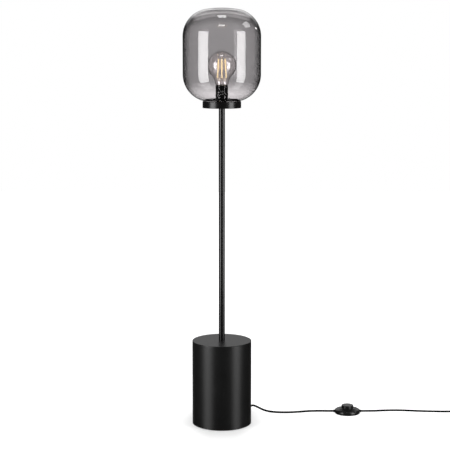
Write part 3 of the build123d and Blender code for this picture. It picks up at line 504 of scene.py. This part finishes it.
# %% Room
ROOM_LIGHT = 0.50      # on matt surfaces
ROOM_SIDES = 0.04      # in reflections, away from the white backdrop
BACKDROP_LIGHT = 0.42  # in reflections, on the upright part of the backdrop
RISES_UP = (0.06, 0.16)       # how far up a direction points where the backdrop fades in
UPRIGHT_BACK = (0.90, 0.985)  # how far back it points, from the upright part's edge inwards
OVER_UP = (0.16, 0.34)        # both again, for the part that curves overhead
OVER_BACK = (0.70, 0.92)
world = bpy.data.worlds.new("studio")
world.use_nodes = True
room = world.node_tree
room.nodes.clear()
paths = add(room, "ShaderNodeLightPath")
direction = add(room, "ShaderNodeTexCoord")
split = add(room, "ShaderNodeSeparateXYZ")
join(room, (direction.outputs["Generated"], split.inputs[0]))
above = between(room, split.outputs["Z"], *RISES_UP, ROOM_SIDES, BACKDROP_LIGHT)
backdrop = maths(room, "MULTIPLY", above, between(room, split.outputs["Y"], *UPRIGHT_BACK))
backdrop = maths(room, "MAXIMUM", backdrop, ROOM_SIDES)
overhead = between(room, split.outputs["Z"], *OVER_UP)
curved_over = maths(room, "MULTIPLY", overhead, between(room, split.outputs["Y"], *OVER_BACK))
backdrop = maths(room, "MAXIMUM", backdrop, curved_over)
matt_ray = maths(room, "MINIMUM", paths.outputs["Diffuse Depth"], 1.0)
mirror_ray = maths(room, "MINIMUM", paths.outputs["Glossy Depth"], 1.0)
dimmed = maths(room, "MULTIPLY", mirror_ray, maths(room, "SUBTRACT", backdrop, 1.0))
mirrored = maths(room, "ADD", 1.0, dimmed)
strength = maths(
    room,
    "ADD",
    maths(room, "MULTIPLY", matt_ray, ROOM_LIGHT),
    maths(room, "MULTIPLY", maths(room, "SUBTRACT", 1.0, matt_ray), mirrored),
)
background = add(room, "ShaderNodeBackground", Color=(1.0, 1.0, 1.0, 1.0))
world_output = add(room, "ShaderNodeOutputWorld")
join(room, (strength, background.inputs["Strength"]), (background.outputs[0], world_output.inputs[0]))
bpy.context.scene.world = world
bpy.context.scene.view_settings.view_transform = "Standard"
print("room:", len(room.nodes), "nodes")

# %% [markdown]
# Two tall soft boxes to the left and right of the camera draw the bright upright bands on
# glass and paint. Four small ones each draw one highlight on the crown of the glass: two in
# the middle from above, a broad dim one on the right, and a small bright one at the edge.
# Area lights are used because their reflection has a true shape and size.

# %% Soft boxes


def soft_box(name, place, aim, width, height, brightness):
    """A plain area light of a given brightness, turned from its place towards a point."""
    light = bpy.data.lights.new(name, "AREA")
    light.shape = "RECTANGLE"
    light.size, light.size_y = width, height
    light.energy = brightness * np.pi * width * height
    lamp = bpy.data.objects.new(name, light)
    lamp.location = place
    offset = np.subtract(aim, place)
    yaw = np.arctan2(offset[1], offset[0]) - np.pi / 2
    pitch = np.arctan2(offset[2], np.hypot(offset[0], offset[1])) + np.pi / 2
    lamp.rotation_euler = (pitch, 0.0, yaw)
    bpy.context.scene.collection.objects.link(lamp)
    print(name, "gives", round(light.energy), "W")
    return lamp


BOX_DISTANCE, BOX_HEIGHT, BOX_BRIGHTNESS = 2.2, 2.0, 7.5
GAP_UNDER_BOX = 0.02
for name, turn, width in (("left_box", -55.5, 1.26), ("right_box", 58.0, 1.08)):
    across, ahead = np.sin(radians(turn)), -np.cos(radians(turn))
    place = (BOX_DISTANCE * across, BOX_DISTANCE * ahead, BOX_HEIGHT / 2 + GAP_UNDER_BOX)
    soft_box(name, place, (0.0, 0.0, place[2]), width, BOX_HEIGHT, BOX_BRIGHTNESS)
small_boxes = {
    "top_box": ((0.0, -0.1, 2.7), (0.0, 0.0, 1.4), 0.38, 0.34, 7.0),
    "front_top_box": ((0.0, -1.16, 2.42), (0.0, -0.12, 1.34), 0.46, 0.22, 6.5),
    "side_top_box": ((1.06, -0.02, 2.02), (0.08, -0.08, 1.36), 0.50, 0.36, 4.2),
    "back_box": ((1.95, 1.50, 1.98), (0.11, -0.04, 1.34), 0.18, 0.18, 10.0),
}
for name, (place, aim, width, height, brightness) in small_boxes.items():
    soft_box(name, place, aim, width, height, brightness)

# %% [markdown]
# The floor is one large flat face. To the eye and through glass it is matt white with a glow
# that makes up for the soft boxes' fall-off: weakest at the lamp's foot, where the lamp's
# shadow has to stay, and stronger to the sides and further out. In a reflection it is a dim
# mirror, so paint and glass show the soft boxes a little further down than they reach.

# %% Floor mesh
FLOOR_HALF_SIDE = 7.0
grid = np.linspace(-FLOOR_HALF_SIDE, FLOOR_HALF_SIDE, 2)
across, along = np.meshgrid(grid, grid)
floor_points = np.column_stack([across.ravel(), along.ravel(), np.zeros(4)])
floor_mesh = bpy.data.meshes.new("studio_floor")
floor_mesh.from_pydata(floor_points.tolist(), [], [(0, 1, 3, 2)])
floor = bpy.data.objects.new("studio_floor", floor_mesh)
bpy.context.scene.collection.objects.link(floor)
print("floor:", 2 * FLOOR_HALF_SIDE, "m on each side")

# %% Floor paint
FLOOR_TONE = 0.50
FOOT_GLOW, NEAR_GLOW, FAR_GLOW, SIDE_GLOW = 0.27, 0.50, 0.45, 0.34
FOOT_TO_NEAR = (0.10, 0.24)    # metres from the axis between which one glow passes into the next
TO_FAR = (0.30, 2.50)
TO_SIDE = (0.03, 0.16)         # metres to the left or right
MIRRORED, MIRROR_BLUR = 0.25, 0.05
floor_paint = bpy.data.materials.new("studio_floor_paint")
floor_paint.use_nodes = True
tree = floor_paint.node_tree
tree.nodes.clear()
paths = add(tree, "ShaderNodeLightPath")
seen = maths(tree, "SUBTRACT", 1.0, maths(tree, "MINIMUM", paths.outputs["Diffuse Depth"], 1.0))
where = add(tree, "ShaderNodeTexCoord")
reach = tree.nodes.new("ShaderNodeVectorMath")
reach.operation = "LENGTH"
tree.links.new(where.outputs["Object"], reach.inputs[0])
near = between(tree, reach.outputs["Value"], *FOOT_TO_NEAR, FOOT_GLOW, NEAR_GLOW)
far = between(tree, reach.outputs["Value"], *TO_FAR, 0.0, FAR_GLOW)
spot = add(tree, "ShaderNodeSeparateXYZ")
tree.links.new(where.outputs["Object"], spot.inputs[0])
beside = between(tree, maths(tree, "ABSOLUTE", spot.outputs["X"]), *TO_SIDE, 0.0, SIDE_GLOW)
white = maths(tree, "ADD", maths(tree, "ADD", near, far), beside)
matt = add(tree, "ShaderNodeBsdfDiffuse", Color=(FLOOR_TONE, FLOOR_TONE, FLOOR_TONE, 1.0))
glow = add(tree, "ShaderNodeEmission", Color=(1.0, 1.0, 1.0, 1.0))
both = add(tree, "ShaderNodeAddShader")
mirror = add(tree, "ShaderNodeBsdfGlossy", Color=(MIRRORED, MIRRORED, MIRRORED, 1.0), Roughness=MIRROR_BLUR)
choice = tree.nodes.new("ShaderNodeMixShader")
surface = add(tree, "ShaderNodeOutputMaterial")
join(
    tree,
    (maths(tree, "MULTIPLY", seen, white), glow.inputs["Strength"]),
    (matt.outputs[0], both.inputs[0]),
    (glow.outputs[0], both.inputs[1]),
    (maths(tree, "MINIMUM", paths.outputs["Glossy Depth"], 1.0), choice.inputs[0]),
    (both.outputs[0], choice.inputs[1]),
    (mirror.outputs[0], choice.inputs[2]),
    (choice.outputs[0], surface.inputs["Surface"]),
)
floor_mesh.materials.append(floor_paint)
print("floor paint:", len(tree.nodes), "nodes")

# %% [markdown]
# ## Finishes
#
# Most of the lamp is black, so what tells one part from another is how it shines: the drum
# is matt powder coat, pole and cup are smoother, the lampholder and switch are moulded
# plastic. All of them share one effect, a fine grain with a slow change in gloss, so that
# is made once as a node group with named inputs.


# %% Group: grain
def make_grain():
    """Group: roughness that drifts slowly about a level, and the height of a fine grain."""
    group = bpy.data.node_groups.new("surface_grain", "ShaderNodeTree")
    for name, default in (("Grain Scale", 900.0), ("Drift Scale", 14.0), ("Roughness", 0.4), ("Spread", 0.1)):
        socket = group.interface.new_socket(name, in_out="INPUT", socket_type="NodeSocketFloat")
        socket.default_value = default
    for name in ("Roughness", "Height", "Drift"):
        group.interface.new_socket(name, in_out="OUTPUT", socket_type="NodeSocketFloat")
    given = group.nodes.new("NodeGroupInput")
    result = group.nodes.new("NodeGroupOutput")
    where = add(group, "ShaderNodeTexCoord")
    fine = add(group, "ShaderNodeTexNoise", Detail=3.0)
    slow = add(group, "ShaderNodeTexNoise", Detail=4.0, Roughness=0.6)
    join(
        group,
        (where.outputs["Object"], fine.inputs["Vector"]),
        (where.outputs["Object"], slow.inputs["Vector"]),
        (given.outputs["Grain Scale"], fine.inputs["Scale"]),
        (given.outputs["Drift Scale"], slow.inputs["Scale"]),
    )
    drift = maths(group, "SUBTRACT", slow.outputs[0], 0.5)
    change = maths(group, "MULTIPLY", drift, given.outputs["Spread"])
    rough = maths(group, "ADD", change, given.outputs["Roughness"])
    join(
        group,
        (rough, result.inputs["Roughness"]),
        (fine.outputs[0], result.inputs["Height"]),
        (slow.outputs[0], result.inputs["Drift"]),
    )
    return group


grain_group = make_grain()
print("group", grain_group.name, "ready")


# %% A finish with grain
GRAIN_DEPTH = 0.0002


def grey(level):
    """A plain grey of one level."""
    return (level, level, level)


def finish(name, dark, light, roughness, spread=0.1, grain=900.0, bump=0.1, drift=14.0, **shader_values):
    """Principled material between two tones, with the grain group's roughness and bump.

    grain and drift are the scales of the fine and the slow pattern, spread is how far the
    roughness swings, and shader_values go straight to the shader's own inputs.
    """
    material = bpy.data.materials.new(name)
    material.use_nodes = True
    tree = material.node_tree
    shader = tree.nodes["Principled BSDF"]
    for key, value in shader_values.items():
        shader.inputs[key.replace("_", " ")].default_value = value
    texture = tree.nodes.new("ShaderNodeGroup")
    texture.node_tree = grain_group
    settings = {"Grain Scale": grain, "Drift Scale": drift, "Roughness": roughness, "Spread": spread}
    for key, value in settings.items():
        texture.inputs[key].default_value = value
    tones = tree.nodes.new("ShaderNodeValToRGB")
    tones.color_ramp.elements[0].position, tones.color_ramp.elements[1].position = 0.35, 0.65
    tones.color_ramp.elements[0].color = (*dark, 1.0)
    tones.color_ramp.elements[1].color = (*light, 1.0)
    relief = add(tree, "ShaderNodeBump", Strength=bump, Distance=GRAIN_DEPTH)
    join(
        tree,
        (texture.outputs["Drift"], tones.inputs["Fac"]),
        (tones.outputs["Color"], shader.inputs["Base Color"]),
        (texture.outputs["Roughness"], shader.inputs["Roughness"]),
        (texture.outputs["Height"], relief.inputs["Height"]),
        (relief.outputs["Normal"], shader.inputs["Normal"]),
    )
    return material


def wear(material, *names):
    """Give a finish to CAD parts, in every material slot that they have."""
    for name in names:
        for slot in nodes[name].material_slots:
            slot.material = material


# %% [markdown]
# The drum has a matt powder coat, which spreads each soft box into a wide dim band. Pole and
# cup have a smoother coat, so their bands are narrower and brighter. All three are nearly
# black: what the eye sees is only what they reflect, and a low index of refraction keeps
# even that faint.

# %% Black paint
drum_coat = finish("drum_powder_coat", grey(0.0015), grey(0.0025), 0.36, 0.03, 1400.0, 0.05, IOR=1.41)
pole_coat = finish("pole_satin_coat", grey(0.0010), grey(0.0020), 0.20, 0.04, 1400.0, 0.04, IOR=1.39)
wear(drum_coat, "base_drum")
wear(pole_coat, "pole")
cup_coat = finish("cup_satin_coat", grey(0.0008), grey(0.0015), 0.26, 0.04, 1400.0, 0.05, IOR=1.38)
wear(cup_coat, "shade_cup")
print("painted: drum, pole and cup")

# %% [markdown]
# Inside the lamp the metal is bare or plated. A metal takes its colour from what it reflects,
# so the plated and the bright ones are fully metallic, and only tint and gloss tell zinc from
# nickel or brass. The ballast's rough casting is only partly metallic, with a coarse grain.

# %% Metals
zinc = finish(
    "zinc_plate", (0.46, 0.46, 0.45), (0.58, 0.58, 0.56), 0.33, 0.2, 500.0, 0.08, 60.0, Metallic=1.0
)
wear(zinc, "base_plate", "foot_washer", "foot_nut", "cup_nut", "foot_nipple", "head_nipple")
wear(zinc, "pole_foot_plug", "pole_head_plug", "plate_screws", "ballast_bolts", "switch_screws")
spring.data.materials.append(zinc)
wire = finish("filament_wire", (0.30, 0.27, 0.24), (0.42, 0.38, 0.34), 0.35, 0.1, 900.0, 0.05, Metallic=1.0)
wear(wire, "filament_cage", "filament_foot")
iron = finish("cast_iron", (0.10, 0.10, 0.10), (0.19, 0.185, 0.18), 0.7, 0.2, 350.0, 0.6, 30.0, Metallic=0.6)
wear(iron, "ballast_weight")
nickel = finish("nickel_plate", (0.68, 0.66, 0.62), (0.78, 0.76, 0.72), 0.16, 0.1, 700.0, 0.04, Metallic=1.0)
wear(nickel, "screw_shell", "plug_pins")
screw_cap.data.materials.append(nickel)
brass = finish("brass", (0.70, 0.54, 0.26), (0.80, 0.64, 0.34), 0.22, 0.15, 700.0, 0.05, Metallic=1.0)
wear(brass, "contact_tongue", "cap_contact")
print("metals:", ", ".join(metal.name for metal in (zinc, wire, iron, nickel, brass)))

# %% [markdown]
# Rubber is dull and moulded plastic shines a little. The lead's sheath is a soft black
# plastic that hardly reflects, the band round the coil is woven, and the terminal block, the
# clamp and the inside of the foot switch are pale nylon.

# %% Rubber, plastic and ceramic
rubber = finish("rubber", grey(0.012), grey(0.02), 0.75, 0.15, 1100.0, 0.3)
wear(rubber, "foot_ring", "shade_gasket", "switch_pads", "cord_relief")
holder_plastic = finish("holder_plastic", grey(0.0015), grey(0.0030), 0.20, 0.05, 1500.0, 0.04, IOR=1.36)
wear(holder_plastic, "holder_base", "holder_ring", "holder_sleeve")
switch_plastic = finish("switch_plastic", grey(0.003), grey(0.005), 0.28, 0.08, 1600.0, 0.06, IOR=1.44)
wear(switch_plastic, "switch_base", "switch_cover", "switch_button", "switch_bushings", "plug_body")
nylon = finish("nylon", (0.70, 0.69, 0.64), (0.80, 0.79, 0.74), 0.5, 0.1, 900.0, 0.08)
wear(nylon, "terminal_block", "cord_clamp", "switch_mechanism", "switch_plunger")
ceramic = finish("ceramic", (0.76, 0.74, 0.69), (0.86, 0.84, 0.80), 0.5, 0.1, 600.0, 0.15)
wear(ceramic, "holder_core")
cap_glass = finish("cap_black_glass", (0.01, 0.008, 0.012), (0.02, 0.016, 0.022), 0.12, 0.05, 500.0, 0.03)
wear(cap_glass, "cap_insulator")
sheath = finish("lead_sheath", grey(0.0006), grey(0.0014), 0.50, 0.12, 1800.0, 0.08, 40.0, IOR=1.12)
webbing = finish("woven_band", grey(0.010), grey(0.022), 0.80, 0.10, 1500.0, 0.9, 400.0)
cable_skin = finish("cable_skin", (0.62, 0.61, 0.58), (0.72, 0.71, 0.67), 0.45, 0.10, 1800.0, 0.06, 40.0)
for lead in (lead_to_switch, lead_to_plug, inner_lead):
    lead.data.materials.append(sheath)
band.data.materials.append(webbing)
inner_cable.data.materials.append(cable_skin)
print("materials so far:", len(bpy.data.materials))

# %% [markdown]
# ## Glass
#
# Smoked glass is tinted in the melt. A look through it passes two walls, front and back, and
# near the outline the walls stand edge on, so the tint grows there. A shader tints only at
# the surface, so a Layer Weight ramp deepens the colour towards the outline. Shadows pass
# through the glass, because bending each lamp's light through it would take far longer to
# render.


# %% Helpers for glass
def glass(name, colour_output, tree, ior, shadow_tint):
    """Finish a glass tree: a clear shader with its colour, which lets shadow rays through."""
    shader = tree.nodes["Principled BSDF"]
    shader.inputs["Roughness"].default_value = 0.0
    shader.inputs["IOR"].default_value = ior
    shader.inputs["Transmission Weight"].default_value = 1.0
    through = add(tree, "ShaderNodeBsdfTransparent", Color=(*shadow_tint, 1.0))
    paths = add(tree, "ShaderNodeLightPath")
    choice = tree.nodes.new("ShaderNodeMixShader")
    output = tree.nodes["Material Output"]
    join(
        tree,
        (colour_output, shader.inputs["Base Color"]),
        (paths.outputs["Is Shadow Ray"], choice.inputs[0]),
        (shader.outputs[0], choice.inputs[1]),
        (through.outputs[0], choice.inputs[2]),
        (choice.outputs[0], output.inputs["Surface"]),
    )
    print(name, "is glass of index", ior)


def smoke_ramp(tree, facing, steps):
    """A colour ramp over how far the wall is turned away, each step a position and a tone."""
    node = tree.nodes.new("ShaderNodeValToRGB")
    ramp = node.color_ramp
    while len(ramp.elements) < len(steps):
        ramp.elements.new(1.0)
    for element, (position, tone) in zip(ramp.elements, steps):
        element.position = position
        element.color = (tone, tone * 0.975, tone * 0.985, 1.0)
    tree.links.new(facing, node.inputs["Fac"])
    return node.outputs["Color"]


def mixed(tree, share, first, second):
    """A Mix node on two colours, each a colour or another node's output."""
    node = tree.nodes.new("ShaderNodeMix")
    node.data_type = "RGBA"
    tree.links.new(share, node.inputs[0])
    for socket, value in zip((node.inputs[6], node.inputs[7]), (first, second)):
        if isinstance(value, tuple):
            socket.default_value = value
        else:
            tree.links.new(value, socket)
    return node.outputs[2]


# %% [markdown]
# The smoke is not even. At the foot of the shade it fades out to nearly clear. The crown is
# painted with the light and shade that a look through its curved walls meets: above an arc
# the glass is painted pale, and just below it painted shade darkens the smoke, most of all
# where the shoulders turn away. The arc bows down to the sides, and lies lower on the far
# side of the glass, where a look through the near arc comes out.

# %% Smoked glass
SIDE_STEPS = ((0.0, 0.56), (0.25, 0.55), (0.44, 0.50), (0.60, 0.33), (0.75, 0.25), (0.90, 0.16))
FOOT_STEPS = ((0.0, 0.96), (0.60, 0.93), (0.85, 0.82), (0.95, 0.52))
# Painted light: the pale tone that the crown is given above its arc.
CROWN_PAINTED_LIGHT = (0.82, 0.805, 0.81, 1.0)
BLACK = (0.0, 0.0, 0.0, 1.0)
ARC_LOW, ARC_HIGH = 1.378, 1.382       # heights between which the smoke of the side ends
ARC_BOW, ARC_BEHIND = 1.8, 0.0045      # how much it drops: by the square of X, and behind
ARC_ENDS_IN, ARC_ENDS_OUT = 0.088, 0.102
# Painted shade: how far towards black the glass goes just below the arc and on the shoulders.
DEEPER, DEEPER_SHOULDER = 0.17, 0.92
DEEPER_FROM = 1.345
SHOULDER_LOW, SHOULDER_HIGH = 1.330, 1.350
SHOULDER_TURNED = (0.60, 0.82)         # how far the wall is turned away there
HALF_BLEND = 0.02                      # in depth, where front passes into back
FOOT_LOW, FOOT_HIGH = 1.108, 1.166
smoke = bpy.data.materials.new("smoked_glass")
smoke.use_nodes = True
tree = smoke.node_tree
where = add(tree, "ShaderNodeTexCoord")
place = add(tree, "ShaderNodeSeparateXYZ")
join(tree, (where.outputs["Object"], place.inputs[0]))
facing = add(tree, "ShaderNodeLayerWeight", Blend=0.5)
side_tint = smoke_ramp(tree, facing.outputs["Facing"], SIDE_STEPS)
sideways = maths(tree, "ABSOLUTE", place.outputs["X"])
bow = maths(tree, "MULTIPLY", maths(tree, "MULTIPLY", sideways, sideways), ARC_BOW)
behind = between(tree, place.outputs["Y"], -HALF_BLEND, HALF_BLEND, 0.0, ARC_BEHIND)
level = maths(tree, "ADD", maths(tree, "ADD", place.outputs["Z"], bow), behind)
# Painted shade below the arc and on the turned shoulders, painted light above the arc on the crown.
below_arc = between(tree, level, DEEPER_FROM, ARC_LOW, 0.0, DEEPER)
turned = between(tree, facing.outputs["Facing"], *SHOULDER_TURNED, 0.0, DEEPER_SHOULDER)
shoulder = maths(tree, "MULTIPLY", turned, between(tree, level, SHOULDER_LOW, SHOULDER_HIGH))
painted_arc_shade = maths(tree, "MAXIMUM", below_arc, shoulder)
pale = between(tree, level, ARC_LOW, ARC_HIGH)
crown = maths(tree, "MULTIPLY", pale, between(tree, sideways, ARC_ENDS_IN, ARC_ENDS_OUT, 1.0, 0.0))
foot_tint = smoke_ramp(tree, facing.outputs["Facing"], FOOT_STEPS)
foot = between(tree, place.outputs["Z"], FOOT_LOW, FOOT_HIGH)
body_tint = mixed(tree, crown, mixed(tree, painted_arc_shade, side_tint, BLACK), CROWN_PAINTED_LIGHT)
glass("smoke", mixed(tree, foot, foot_tint, body_tint), tree, 1.48, (0.75, 0.75, 0.75))
wear(smoke, "glass_shade")

# %% [markdown]
# The bulb is thin clear glass. It is hard to see but for its outline and two highlights beside
# the filaments, so a dark ramp draws the outline and a clear coat of high index brightens the
# highlights. A faint glow stands for the light that the filaments send through it.

# %% Clear glass of the bulb
OUTLINE_STEPS = ((0.0, 1.0), (0.52, 0.98), (0.68, 0.64), (0.82, 0.10))
clear = bpy.data.materials.new("bulb_clear_glass")
clear.use_nodes = True
tree = clear.node_tree
facing = add(tree, "ShaderNodeLayerWeight", Blend=0.5)
edge = smoke_ramp(tree, facing.outputs["Facing"], OUTLINE_STEPS)
glass("clear", edge, tree, 1.46, (0.97, 0.97, 0.97))
shader = tree.nodes["Principled BSDF"]
shader.inputs["Coat Weight"].default_value = 1.0
shader.inputs["Coat Roughness"].default_value = 0.0
shader.inputs["Coat IOR"].default_value = 2.0
shader.inputs["Emission Color"].default_value = (1.0, 0.94, 0.90, 1.0)
shader.inputs["Emission Strength"].default_value = 0.06
wear(clear, "bulb_glass")

# %% [markdown]
# Inside the bulb a glass stem holds the wires. Its foot is clear, and further up it is amber
# with the light of the filaments round it. Its index is low, because a solid rod would bend
# the picture behind it more than the real hollow one does.

# %% Glass stem
CLEAR_BELOW_Z, AMBER_ABOVE_Z = 1.165, 1.180
stem_glass = bpy.data.materials.new("stem_glass")
stem_glass.use_nodes = True
tree = stem_glass.node_tree
where = add(tree, "ShaderNodeTexCoord")
height = add(tree, "ShaderNodeSeparateXYZ")
join(tree, (where.outputs["Object"], height.inputs[0]))
lit = between(tree, height.outputs["Z"], CLEAR_BELOW_Z, AMBER_ABOVE_Z)
stem_tint = mixed(tree, lit, (0.97, 0.96, 0.95, 1.0), (0.93, 0.74, 0.45, 1.0))
glass("stem", stem_tint, tree, 1.18, (0.97, 0.97, 0.97))
wear(stem_glass, "bulb_stem")

# %% [markdown]
# The filaments are lit: their yellow coat is also a light of its own, bright enough to look
# warm through the smoke, but not so bright that it turns white.

# %% Glowing filaments
phosphor = finish("filament_phosphor", (0.80, 0.55, 0.25), (0.90, 0.68, 0.35), 0.6, 0.1, 900.0, 0.1)
glow = phosphor.node_tree.nodes["Principled BSDF"]
glow.inputs["Emission Color"].default_value = (1.0, 0.83, 0.46, 1.0)
glow.inputs["Emission Strength"].default_value = 1.4
filaments.data.materials.append(phosphor)
print("filaments glow at", glow.inputs["Emission Strength"].default_value)
